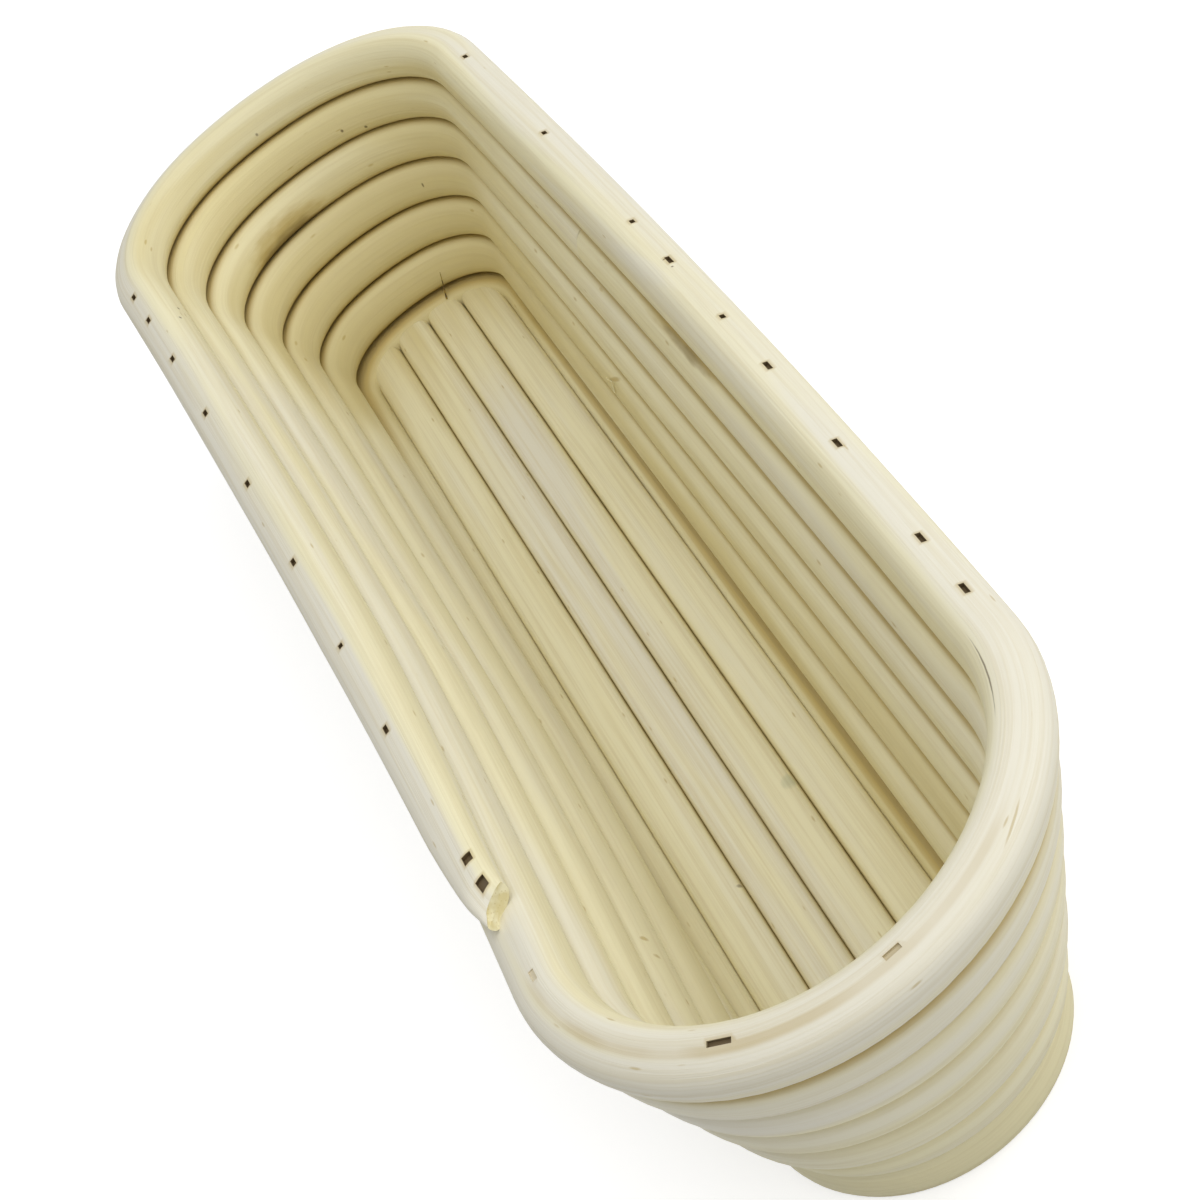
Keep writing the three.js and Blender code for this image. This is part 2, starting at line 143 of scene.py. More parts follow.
class Winding:
    """The canes' path: the floor ring's plan, and the turns that climb from it."""

    def __init__(self, sizes):
        self.sizes = sizes
        self.radius = sizes.cane_diameter / 2
        self.pitch = sizes.cane_diameter + sizes.turn_gap
        self.rise = math.sqrt(self.pitch ** 2 - sizes.turn_lean ** 2)
        self.half_width = sizes.floor_width / 2 - self.radius
        self.half_length = sizes.floor_length / 2 - self.radius
        self.ring_height = self.radius - sizes.sanded_flat
        corner = sizes.corner_radius
        self.corner_y = self.half_width - corner
        self.end_radius = corner + self.corner_y / math.sin(sizes.end_angle)
        self.end_x = self.half_length - self.end_radius
        self.corner_x = self.end_x + (self.end_radius - corner) * math.cos(sizes.end_angle)
        self.near_x = self.half_length - self.half_width
        self.swell = SWELL * sizes.turn_gap / 2
        self.half_gap = sizes.butt_gap * BUTT_SHOWN / 2
        self.lay_stretches()

    def lay_stretches(self):
        """Lays the plan counter-clockwise from the place where the turns climb."""
        x, y = self.corner_x, self.corner_y
        corner, end = self.sizes.corner_radius, self.sizes.end_angle
        quarter, half = math.pi / 2, math.pi
        climb_x = self.near_x - self.sizes.climb_run
        self.stretches = {
            "climb": self.straight(climb_x, self.near_x, -self.half_width),
            "near_end": self.arc(self.near_x, 0, self.half_width, -quarter, quarter, NEAR_STEPS),
            "right": self.straight(self.near_x, -x, self.half_width),
            "far_right": self.arc(-x, y, corner, quarter, half - end, CORNER_STEPS),
            "far_end": self.arc(-self.end_x, 0, self.end_radius, half - end, half + end, END_STEPS),
            "far_left": self.arc(-x, -y, corner, half + end, half + quarter, CORNER_STEPS),
            "left": self.straight(-x, climb_x, -self.half_width),
        }
        self.loop = 0.0
        for stretch in self.stretches.values():
            stretch["start"] = self.loop
            self.loop += stretch["length"]
        self.climb_length = self.stretches["climb"]["length"] + self.stretches["near_end"]["length"]
        self.left_side = self.stretches["left"]["length"] + self.stretches["climb"]["length"]

    @staticmethod
    def straight(from_x, to_x, y):
        """A straight stretch along a side."""
        length = abs(to_x - from_x)
        out = Vector((0, math.copysign(1, y), 0))

        def at(share):
            return Vector((from_x + (to_x - from_x) * share, y, 0)), out

        return {"length": length, "steps": round(length / STRAIGHT_STEP), "at": at}

    @staticmethod
    def arc(x, y, radius, from_angle, to_angle, steps):
        """A bent stretch round a middle."""

        def at(share):
            angle = from_angle + (to_angle - from_angle) * share
            out = Vector((math.cos(angle), math.sin(angle), 0))
            return Vector((x, y, 0)) + out * radius, out

        return {"length": radius * (to_angle - from_angle), "steps": steps, "at": at}

    def station(self, s):
        """A point of the ring's centre line and the way out from it."""
        local = s % self.loop
        found = [stretch for stretch in self.stretches.values() if local >= stretch["start"]][-1]
        return found["at"]((local - found["start"]) / found["length"])

    def on_right(self, share, turn):
        """Distance wound by the time that a turn reaches a share of the right side."""
        right = self.stretches["right"]
        return (turn - 1) * self.loop + right["start"] + right["length"] * share

    def on_left(self, share, turn):
        """The same on the left side, where the turn's end lies past the start of the next climb."""
        return (turn - 1) * self.loop + self.stretches["left"]["start"] + self.left_side * share

    def on_near(self, distance, turn):
        """The same round the near end, by a distance along the ring from where the end starts."""
        return (turn - 1) * self.loop + self.stretches["near_end"]["start"] + distance

    def centre(self, s, level):
        """Centre of a cane at a level counted in turns above the floor ring."""
        point, out = self.station(s)
        place = point + out * self.sizes.turn_lean * level
        share = place.x / self.half_length
        drift = self.sizes.rim_bow * (1 - share * share) + self.sizes.rim_sway * share
        place.y += drift * level / self.sizes.wall_turns
        place.z = self.ring_height + self.rise * level
        return place + MIDDLE

    def stack(self, s, level):
        """The way from a cane to the turn above it."""
        return (self.centre(s, level + 1) - self.centre(s, level)).normalized()

    def climbed(self, local):
        """How much of one turn's step has been climbed at a place on the loop."""
        share = min(local / self.climb_length, 1)
        eased = share * share * (3 - 2 * share)
        return share + (eased - share) * self.sizes.climb_easing

    def wound(self, s):
        """The winding's section at a distance from the start of its first climb."""
        turns, gap = self.sizes.wall_turns, self.sizes.turn_gap
        turn, local = divmod(s, self.loop)
        share = self.climbed(local)
        level = turn + share
        thickness = self.sizes.cane_diameter
        if turn == 0:
            level = (1 + share) / 2
            thickness = thickness * share - gap * (1 - share)
        if turn == turns:
            thickness = self.pitch * (1 - share) - gap
            level = turns + (self.sizes.cane_diameter - thickness) / (2 * self.pitch)
        wide = (self.radius + thickness / 2) / 2
        return Section(s, self.centre(s, level), self.stack(s, level), thickness / 2, wide)

    def ring(self, s):
        """The floor ring's section at a distance round it."""
        up = Vector((0, 0, 1))
        return Section(s, self.centre(s, 0), up, self.radius, self.radius)

    def steps(self, start, end, slots=()):
        """Distances from start to end, close together in the corners, with the edges of every slot."""
        fixed = [start, end]
        for slot in slots:
            half = self.sizes.slot_length * slot.length / 2
            before, after = self.wound(slot.s - FINE_STEP), self.wound(slot.s + FINE_STEP)
            growth = (after.centre - before.centre).length / (2 * FINE_STEP)
            for reach in (half, half + SLOT_HALO):
                fixed += [slot.s - reach / growth, slot.s + reach / growth]
        places = list(fixed)
        for turn in range(math.floor(start / self.loop), math.floor(end / self.loop) + 1):
            for stretch in self.stretches.values():
                for step in range(stretch["steps"]):
                    share = step / stretch["steps"]
                    s = turn * self.loop + stretch["start"] + stretch["length"] * share
                    if start < s < end and min(abs(s - other) for other in fixed) > FINE_STEP:
                        places.append(s)
        return sorted(places)

    def start(self):
        """Where the first turn's pared start is as thick as its tip."""
        s = 0.0
        while self.wound(s).high * 2 < self.sizes.start_tip:
            s += FINE_STEP
        return s

    def end(self):
        """Where the last turn is pared down to its tip."""
        s = self.sizes.wall_turns * self.loop
        while self.wound(s).high * 2 > self.sizes.scarf_tip:
            s += FINE_STEP
        return s

    def wall_butt(self):
        """Where the wall's second length takes over."""
        return self.on_right(self.sizes.wall_butt, self.sizes.wall_turns - 1)

    def ring_butt(self):
        """Where the ring's two ends meet."""
        across = math.asin(self.sizes.ring_butt_y / self.end_radius)
        return self.stretches["far_end"]["start"] + self.end_radius * (self.sizes.end_angle - across)


# The CAD model's rim brads: shares of each side, and distances round the near end and back from the tip
RIM_BRADS_RIGHT = (0.032, 0.094, 0.221, 0.337, 0.42, 0.518, 0.594, 0.782, 0.97)
RIM_BRADS_LEFT = (0.019, 0.069, 0.149, 0.254, 0.38, 0.507, 0.631, 0.739)
RIM_BRADS_NEAR = (0.5 * MM, 26.1 * MM, 43.1 * MM)
SCARF_BRADS = (10.5 * MM, 3 * MM)

# Slots over those brads: the margin round them, their tilts, and their sizes next to a common slot's
SLOT_HALO = 0.9 * MM
NEAR_TILT = math.radians(-14)
SCARF_TILT = math.radians(-27)
NEAR_SLOT_LENGTHS = (0.9, 1.5, 1.1)
NEAR_SLOT_DARKNESS = (0.3, 0.8, 0.5)
LEFT_SLOT_LENGTH = 0.8
SCARF_SLOT_LENGTH = 0.85
SCARF_SLOT_FACETS = 2

# A brad's slot: its place on the winding, outward tilt, share of a common length, facets wide, and darkness
Slot = namedtuple("Slot", "s tilt length facets darkness", defaults=(0, 1, 1, 1))


def rim_slots(winding):
    """Every brad's slot in the rim."""
    turns = winding.sizes.wall_turns
    end = winding.end()
    slots = [Slot(winding.on_right(share, turns)) for share in RIM_BRADS_RIGHT]
    slots += [Slot(winding.on_left(share, turns), length=LEFT_SLOT_LENGTH) for share in RIM_BRADS_LEFT]
    for place, length, dark in zip(RIM_BRADS_NEAR, NEAR_SLOT_LENGTHS, NEAR_SLOT_DARKNESS):
        slots.append(Slot(winding.on_near(place, turns), NEAR_TILT, length, darkness=dark))
    slots += [Slot(end - place, SCARF_TILT, SCARF_SLOT_LENGTH, SCARF_SLOT_FACETS) for place in SCARF_BRADS]
    return slots


# Shape of a hand-bent cane: how far it fills the gaps to its neighbours, how square it is and how uneven
SWELL = 1.1
BUTT_SHOWN = 0.3
SQUARENESS = 2.9
SKIN_UNEVEN = 0.012
SKIN_WAVES = 22
WANDER = 0.25 * MM
WANDER_WAVES = 9
WANDER_ROW = 3.1
WELD = 0.01 * MM

# Painted crease shade and dust where canes lie on each other: angles round the cane from the line where they
# touch
CRACK_FULL = math.radians(24)
CRACK_REACH = math.radians(52)
CRACK_REACH_OUTSIDE = math.radians(66)
SIDE_WIDER = math.radians(11)
SIDE_FADE = math.radians(22)
FAR_SOFTER = math.radians(15)
LEAST_CREASE_SHADE = 0.5

# Painted shadow in the groove under the rim at the near end, outside the basket
GROOVE_SHADOW_WIDER = math.radians(13)
GROOVE_FROM_X = 100 * MM
GROOVE_FADE = 50 * MM
GROOVE_ABOVE = 54 * MM
GROOVE_DEPTH = 4 * MM

# Rub mark on the rim, from the start of the near end
RUB_FROM = -8 * MM
RUB_TO = 66 * MM
RUB_FADE = 16 * MM
RUB_WIDTH = math.radians(14)
RUB_STRENGTH = 0.5
RUB_UNEVEN = 0.5
RUB_WAVES = 200
RUB_ROW = 0.5

# Pared end of the rim
SLANT_REACH = 18 * MM
TIP_REACH = 7 * MM
TAPER_REACH = 28 * MM
TIP_PARED_TOP = 0.95
TIP_PARED_LEAST = 0.6
TIP_PARED_OUTSIDE = 0.35
TAPER_PARED_OUTSIDE = 0.5
TIP_SWOLLEN_INSIDE = 0.12

# Painted shade and warm bounce light: how much darker and yellower the cane is painted low inside, on the
# right and at the far end
SHADE_BELOW = 62 * MM
SHADE_FULLY = 14 * MM
SHADE_SIDE = 60 * MM
SHADE_FAR = 90 * MM
SHADE_INSIDE = 0.34
SHADE_LOW = 0.42
SHADE_OUTSIDE = 0.42
SHADE_FAR_END = 0.44
INWARD_STEEPNESS = 1.3


def bulge(angle, power):
    """How far a slightly squared round reaches at an angle, next to a circle of radius 1."""
    total = abs(math.cos(angle)) ** power + abs(math.sin(angle)) ** power
    return total ** (-1 / power)


def clamped(value):
    return min(max(value, 0), 1)


def rim_groove_shadow(place):
    """1 in the deep groove under the rim at the near end, outside the basket, where shadow is painted into
    the cane's colour.
    """
    return clamped((place.x - GROOVE_FROM_X) / GROOVE_FADE) * clamped((place.z - GROOVE_ABOVE) / GROOVE_DEPTH)


def nearness(angle, line, full=CRACK_FULL, reach=CRACK_REACH):
    """1 where the cane lies on its neighbour along a line, and less away from it."""
    away = abs(math.atan2(math.sin(angle - line), math.cos(angle - line)))
    return clamped((reach - away) / (reach - full))


def rightness(place):
    """0 on the left of the basket, 1 on its right."""
    return clamped(0.5 + place.y / SHADE_SIDE)


def at_far_end(place):
    """0 along the basket's sides, 1 at its far end."""
    return clamped(-(place.x + SHADE_FAR) / SHADE_SIDE)


def crease_shade_strength(place):
    """How strong the painted crease shade and dust are: least on the left, more on the right, at the far end
    and in the groove under the near rim.
    """
    most = max(rightness(place), at_far_end(place), rim_groove_shadow(place))
    return LEAST_CREASE_SHADE + (1 - LEAST_CREASE_SHADE) * most


def crease_shade_line(place, angle, covered):
    """How much painted crease shade and dust shows where the cane lies on the turn below, and under a turn
    that covers it.
    """
    if math.sin(angle) > 0:
        # In the groove under the near rim, the painted crease shadow starts wider
        full = CRACK_FULL + GROOVE_SHADOW_WIDER * rim_groove_shadow(place)
        reach = CRACK_REACH_OUTSIDE
    else:
        wider = SIDE_WIDER * rightness(place) * (1 - at_far_end(place))
        full = CRACK_FULL + wider
        reach = max(CRACK_REACH, full + SIDE_FADE) + FAR_SOFTER * at_far_end(place)
    line = nearness(angle, math.pi, full, reach)
    if covered:
        line = max(line, nearness(angle, 0, full, reach))
    return crease_shade_strength(place) * line


def painted_warm_shade(place, angle):
    """How much darker and yellower the cane is painted for shade and warm bounce light: most inside the
    basket near its floor, on the right and at the far end.
    """
    depth = clamped((SHADE_BELOW - place.z) / (SHADE_BELOW - SHADE_FULLY))
    inward = clamped(-INWARD_STEEPNESS * math.sin(angle))
    inside = inward * (SHADE_INSIDE + SHADE_LOW * depth * max(rightness(place), at_far_end(place)))
    outside = (1 - inward) * SHADE_OUTSIDE * depth
    return clamped(inside + outside + SHADE_FAR_END * at_far_end(place) * (1 + inward) / 2)


def rim_rub(winding, s, angle):
    """The soft brown rub mark along the top of the rim round the near end."""
    place = s - winding.on_near(0, winding.sizes.wall_turns)
    along = clamped((place - RUB_FROM) / RUB_FADE) * clamped((RUB_TO - place) / RUB_FADE)
    streaky = 1 + RUB_UNEVEN * noise.noise(Vector((place * RUB_WAVES, RUB_ROW, 0)))
    return RUB_STRENGTH * along * streaky * clamped(1 - abs(angle) / RUB_WIDTH)


def lengths_along(sections):
    """Distance along the cane itself to each section."""
    total = 0.0
    result = [0.0]
    for before, after in zip(sections, sections[1:]):
        total += (after.centre - before.centre).length
        result.append(total)
    return result


def skin_point(sections, i, angle, along, swell, slant):
    """A point of the cane's skin at an angle, which is 0 towards the turn above and positive outwards."""
    section = sections[i]
    left = sections[-1].s - section.s
    before = sections[max(i - 1, 0)].centre
    after = sections[min(i + 1, len(sections) - 1)].centre
    tangent = (after - before).normalized()
    side = tangent.cross(section.stack).normalized()
    up = side.cross(tangent)
    round_place = Vector((along * SKIN_WAVES, math.cos(angle), math.sin(angle)))
    reach = bulge(angle, SQUARENESS) * (1 + SKIN_UNEVEN * noise.noise(round_place))
    height = (section.high + swell) * reach * math.cos(angle)
    width = (section.wide + swell) * reach * math.sin(angle)
    if slant:
        tip = clamped(1 - left / TIP_REACH) ** 2
        taper = clamped(1 - left / TAPER_REACH) ** 2
        outer = TIP_PARED_LEAST + (1 - TIP_PARED_LEAST) * (1 + math.sin(angle)) / 2
        height *= 1 - TIP_PARED_TOP * tip * outer if height > 0 else 1
        outside = (1 - TAPER_PARED_OUTSIDE * taper) * (1 - TIP_PARED_OUTSIDE * tip)
        width *= outside if width > 0 else 1 + TIP_SWOLLEN_INSIDE * taper
    point = section.centre + up * height + side * width
    point += side * WANDER * noise.noise(Vector((section.s * WANDER_WAVES, WANDER_ROW, 0)))
    point += tangent * slant * math.sin(angle) * max(0, 1 - left / SLANT_REACH)
    point.z = max(point.z, 0)
    return point


# A grid that is rolled into a cane, with the layers that the cane's material reads
Skin = namedtuple("Skin", "bm grain crack stain age")


def flat_skin(rows, sides):
    """A flat grid with as many rows along the cane and facets round it."""
    bm = bmesh.new()
    floats = bm.verts.layers.float
    grain = bm.loops.layers.uv.new("grain")
    skin = Skin(bm, grain, floats.new("crack"), floats.new("stain"), floats.new("age"))
    bmesh.ops.create_grid(bm, x_segments=rows, y_segments=sides, size=1)
    return skin


def column_angle(column, sides):
    """Angle round the cane of a column of the grid."""
    return -math.pi + 2 * math.pi / sides * (column + 0.5)


def close_skin(bm, places, sides):
    """Joins a rolled grid's two long edges, caps its ends and turns its faces outwards."""
    seam = [vert for vert, place in places.items() if place[-1] in (0, sides)]
    bmesh.ops.remove_doubles(bm, verts=seam, dist=WELD)
    cap_ends(bm)
    bmesh.ops.recalc_face_normals(bm, faces=bm.faces)


def slots_on_grid(sections, slots):
    """The slot at each row and column of a cane's grid that has one."""
    facet = 2 * math.pi / CANE_SIDES
    middles = [(before.s + after.s) / 2 for before, after in zip(sections, sections[1:])]
    found = {}
    for slot in slots:
        row = min(range(len(middles)), key=lambda i: abs(middles[i] - slot.s))
        first = CANE_SIDES // 2 - 1 + round(slot.tilt / facet - (slot.facets - 1) / 2)
        for column in range(first, first + slot.facets):
            found[row, column] = slot
    return found


def rolled_cane(name, sections, swell, slots=(), slant=0.0, covered_to=math.inf, rub=None):
    """Rolls a grid into a cane through the sections, caps its ends and sinks a slot for each brad.

    The cane lies on the turn below, another turn covers it up to covered_to, and rub gives its rub mark.
    """
    rows = len(sections) - 1
    skin = flat_skin(rows, CANE_SIDES)
    bm = skin.bm
    along = lengths_along(sections)
    radius = sections[0].wide
    places = {}
    for vert in bm.verts:
        row = round((vert.co.x + 1) / 2 * rows)
        column = round((vert.co.y + 1) / 2 * CANE_SIDES)
        places[vert] = (row, column)
    slot_places = slots_on_grid(sections, slots)
    slot_faces = {slot: [] for slot in slots}
    for face in bm.faces:
        row = min(places[vert][0] for vert in face.verts)
        column = min(places[vert][1] for vert in face.verts)
        if (row, column) in slot_places:
            slot_faces[slot_places[row, column]].append(face)
        for loop in face.loops:
            vert_row, vert_column = places[loop.vert]
            loop[skin.grain].uv = (along[vert_row], column_angle(vert_column, CANE_SIDES) * radius)
    for vert, (row, column) in places.items():
        angle = column_angle(column, CANE_SIDES)
        vert.co = skin_point(sections, row, angle, along[row], swell, slant)
        # Painted shade and dust in the creases where this cane touches its neighbours
        vert[skin.crack] = crease_shade_line(vert.co, angle, sections[row].s < covered_to)
        # Painted shade and warm bounce light, darker and yellower low inside, on the right and at the far end
        vert[skin.age] = painted_warm_shade(vert.co, angle)
        vert[skin.stain] = rub(sections[row].s, angle) if rub else 0
    close_skin(bm, places, CANE_SIDES)
    sink_slots(bm, slot_faces, skin.stain)
    return finished_mesh(name, bm)


CAP_CHAMFER = 0.3 * MM
CAP_DOME = 0.3


def cap_ends(bm):
    """Closes a cane's two cut ends with flat faces in the second material."""
    open_edges = [edge for edge in bm.edges if edge.is_boundary]
    caps = bmesh.ops.holes_fill(bm, edges=open_edges, sides=0)["faces"]
    for cap in caps:
        cap.material_index = 1
    bmesh.ops.inset_individual(bm, faces=caps, thickness=CAP_CHAMFER, depth=CAP_DOME * CAP_CHAMFER)
    bmesh.ops.poke(bm, faces=caps)


# Lip of a brad's slot, and the stain on it
SLOT_LIP = 0.06 * MM
LIP_STAIN = 0.42
EDGE_STAIN = 0.75


def sink_slots(bm, slot_faces, stain):
    """Sinks each slot's faces into the cane, deeper where it is darker, with a stained lip round them."""
    depth = bpy.context.scene.basket_sizes.slot_depth
    for slot, faces in slot_faces.items():
        mouth = bmesh.ops.dissolve_faces(bm, faces=faces)["region"] if len(faces) > 1 else faces
        for vert in mouth[0].verts:
            vert[stain] = max(vert[stain], LIP_STAIN * slot.darkness)
        bmesh.ops.inset_individual(bm, faces=mouth, thickness=SLOT_LIP, depth=0)
        for vert in mouth[0].verts:
            vert[stain] = EDGE_STAIN * slot.darkness
        floor = bmesh.ops.extrude_discrete_faces(bm, faces=mouth)["faces"][0]
        bmesh.ops.translate(bm, verts=floor.verts, vec=-floor.normal * depth * slot.darkness)
        for vert in floor.verts:
            vert[stain] = slot.darkness


SHARP_ANGLE = math.radians(38)


def finished_mesh(name, bm):
    """A piece from a bmesh, smooth except at its cut edges, riding on the basket."""
    mesh = bpy.data.meshes.new(name)
    bm.to_mesh(mesh)
    bm.free()
    mesh.shade_smooth()
    mesh.set_sharp_from_angle(angle=SHARP_ANGLE)
    piece = bpy.data.objects.new(name, mesh)
    bpy.context.scene.collection.objects.link(piece)
    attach(piece, "root")
    return piece


# Shape of a floor slat, and how yellow each one is
SLAT_SQUARENESS = 4.2
SLAT_PARED = 7 * MM
SLAT_PARED_SHARE = 0.05
SLAT_LAP = 0.03 * MM
SLAT_AGES = (0.44, 0.26, 0.2, 0.44)
SLAT_WAVES = 6
SLAT_WAVE_SHIFT = 5
SLAT_END_CROWDING = 1.5
SLAT_END_GAP = 0.1 * MM
MOST_ACROSS = 0.97
MOST_HIGH = 0.98


def slat_end(winding, near, y, z):
    """How far out a slat reaches at a place across the floor, before it meets the ring."""
    across = abs(y)
    end_y = winding.end_radius * math.sin(winding.sizes.end_angle)
    if near:
        radius, start_x, off = winding.half_width, winding.near_x, across
    elif across <= end_y:
        radius, start_x, off = winding.end_radius, winding.end_x, across
    else:
        radius, start_x, off = winding.sizes.corner_radius, winding.corner_x, across - winding.corner_y
    off = min(off, radius * MOST_ACROSS)
    lean = math.sqrt(1 - (off / radius) ** 2)
    height = min(abs(z - winding.ring_height), winding.radius * MOST_HIGH)
    inner = math.sqrt(winding.radius ** 2 - height ** 2)
    return start_x + radius * lean - (inner + SLAT_END_GAP) / lean


def rolled_slat(name, winding, index):
    """Rolls a grid into a straight floor slat, its ends hollowed to the ring and pared a little."""
    sizes = winding.sizes
    middle = (index - (sizes.slat_count - 1) / 2) * sizes.slat_pitch
    half_width = sizes.slat_pitch / 2 + SLAT_LAP
    half_height = sizes.slat_height / 2 + sizes.sanded_flat / 2
    skin = flat_skin(SLAT_STEPS, SLAT_SIDES)
    bm = skin.bm
    places = {}
    for vert in bm.verts:
        column = round((vert.co.y + 1) / 2 * SLAT_SIDES)
        share = math.copysign(1 - (1 - clamped(abs(vert.co.x))) ** SLAT_END_CROWDING, vert.co.x)
        places[vert] = (share, column_angle(column, SLAT_SIDES), column)
    for face in bm.faces:
        for loop in face.loops:
            share, angle, _ = places[loop.vert]
            loop[skin.grain].uv = (sizes.floor_length * (share + 1) / 2, angle * half_width)
    for vert, (share, angle, _) in places.items():
        from_end = (1 - abs(share)) * sizes.floor_length / 2
        pared = 1 - SLAT_PARED_SHARE * max(0, 1 - from_end / SLAT_PARED) ** 2
        shifted = math.sin(angle) + index * SLAT_WAVE_SHIFT
        uneven = 1 + SKIN_UNEVEN * noise.noise(Vector((share * SLAT_WAVES, math.cos(angle), shifted)))
        reach = bulge(angle, SLAT_SQUARENESS) * uneven
        across = middle + half_width * pared * reach * math.sin(angle)
        height = max(half_height * (1 + pared * reach * math.cos(angle)) - sizes.sanded_flat, 0)
        end = slat_end(winding, share > 0, across, height)
        vert.co = Vector((share * end, across, height)) + MIDDLE
        # Painted shade and dust in the seams between slats
        vert[skin.crack] = nearness(abs(angle), math.pi / 2)
        # Each slat's own tone, plus painted shade at the far end
        vert[skin.age] = SLAT_AGES[index % len(SLAT_AGES)] + SHADE_FAR_END * at_far_end(vert.co)
    close_skin(bm, places, SLAT_SIDES)
    return finished_mesh(name, bm)


def add_node(tree, kind, settings=None, **inputs):
    """Adds a node, sets its options, and links or sets its inputs by name, or by number as n0 and n1."""
    node = tree.nodes.new(kind)
    for key, value in (settings or {}).items():
        setattr(node, key, value)
    for key, value in inputs.items():
        name = key.replace("_", " ")
        socket = node.inputs[int(name[1:])] if name[0] == "n" and name[1:].isdigit() else node.inputs[name]
        if isinstance(value, bpy.types.NodeSocket):
            tree.links.new(value, socket)
        else:
            socket.default_value = value
    return node


def math_node(tree, operation, first, second=0.0):
    return add_node(tree, "ShaderNodeMath", {"operation": operation}, n0=first, n1=second).outputs[0]


def scaled(tree, value, factor):
    return math_node(tree, "MULTIPLY", value, factor)


def vector_node(tree, operation, first, second):
    return add_node(tree, "ShaderNodeVectorMath", {"operation": operation}, n0=first, n1=second)


def noise_node(tree, place, scale=1.0, detail=2.0, roughness=0.5):
    node = add_node(tree, "ShaderNodeTexNoise", Vector=place, Scale=scale, Detail=detail, Roughness=roughness)
    return node.outputs[0]


def attribute(tree, name):
    return add_node(tree, "ShaderNodeAttribute", {"attribute_name": name}).outputs["Fac"]


def object_place(tree):
    return add_node(tree, "ShaderNodeTexCoord").outputs["Object"]


def mix_colour(tree, factor, first, second):
    """Mixes two colours, on the node's own sockets for colours, 6 and 7 in and 2 out."""
    node = add_node(tree, "ShaderNodeMix", {"data_type": "RGBA"})
    for socket, value in ((node.inputs[0], factor), (node.inputs[6], first), (node.inputs[7], second)):
        if isinstance(value, bpy.types.NodeSocket):
            tree.links.new(value, socket)
        else:
            socket.default_value = value if isinstance(value, float) else (*value[:3], 1)
    return node.outputs[2]


def ramp(tree, value, low, high):
    """0 at low and before it, 1 at high and past it, smooth between."""
    node = add_node(tree, "ShaderNodeMapRange", {"interpolation_type": "SMOOTHSTEP"}, Value=value)
    node.inputs["From Min"].default_value = low
    node.inputs["From Max"].default_value = high
    return node.outputs[0]


def new_group(name, inputs, outputs):
    """An empty node group with its sockets, and the nodes at its two ends."""
    tree = bpy.data.node_groups.new(name, "ShaderNodeTree")
    for socket, kind in inputs:
        tree.interface.new_socket(socket, in_out="INPUT", socket_type=kind)
    for socket in outputs:
        tree.interface.new_socket(socket, in_out="OUTPUT", socket_type="NodeSocketFloat")
    return tree, tree.nodes.new("NodeGroupInput"), tree.nodes.new("NodeGroupOutput")


# Grain: how often it changes in a metre along the cane, and in a radius across it
FINE_FIBRES = (28, 16)
BROAD_FIBRES = (9, 4.5)
PORE_CELLS = (110, 3.6)
PATCHES = (7, 0.8)
FINE_DETAIL = 3.0
FINE_ROUGHNESS = 0.6
FIBRE_RANGE = (0.82, 1.32)
PORE_RANGE = (0.17, 0.06)
PATCH_RANGE = (0.36, 0.68)
CELLS_WITHOUT_PORES = 0.86


def grain_group():
    """Fibres along a cane, its pores and its paler and yellower stretches, from its unrolled skin."""
    name = "Cane grain"
    if name in bpy.data.node_groups:
        return bpy.data.node_groups[name]
    tree, given, result = new_group(
        name, [("Skin", "NodeSocketVector"), ("Radius", "NodeSocketFloat"), ("Shift", "NodeSocketFloat")],
        ["Fibres", "Pores", "Patches"])
    skin = add_node(tree, "ShaderNodeSeparateXYZ", Vector=given.outputs["Skin"])
    angle = math_node(tree, "DIVIDE", skin.outputs["Y"], given.outputs["Radius"])
    along = math_node(tree, "ADD", skin.outputs["X"], given.outputs["Shift"])
    cosine = math_node(tree, "COSINE", angle)
    sine = math_node(tree, "SINE", angle)

    def stretched(length, across):
        x = scaled(tree, along, length)
        y = scaled(tree, cosine, across)
        z = scaled(tree, sine, across)
        return add_node(tree, "ShaderNodeCombineXYZ", X=x, Y=y, Z=z).outputs[0]

    fine = noise_node(tree, stretched(*FINE_FIBRES), detail=FINE_DETAIL, roughness=FINE_ROUGHNESS)
    both = math_node(tree, "ADD", fine, noise_node(tree, stretched(*BROAD_FIBRES)))
    tree.links.new(ramp(tree, both, *FIBRE_RANGE), result.inputs["Fibres"])
    cells = add_node(tree, "ShaderNodeTexVoronoi", Vector=stretched(*PORE_CELLS), Scale=1.0)
    cell_pick = add_node(tree, "ShaderNodeSeparateColor", Color=cells.outputs["Color"])
    chosen = math_node(tree, "GREATER_THAN", cell_pick.outputs[0], CELLS_WITHOUT_PORES)
    dot = ramp(tree, cells.outputs["Distance"], *PORE_RANGE)
    tree.links.new(scaled(tree, dot, chosen), result.inputs["Pores"])
    patches = noise_node(tree, stretched(*PATCHES))
    tree.links.new(ramp(tree, patches, *PATCH_RANGE), result.inputs["Patches"])
    return tree


MARK_EDGE = (1.0, 0.35)


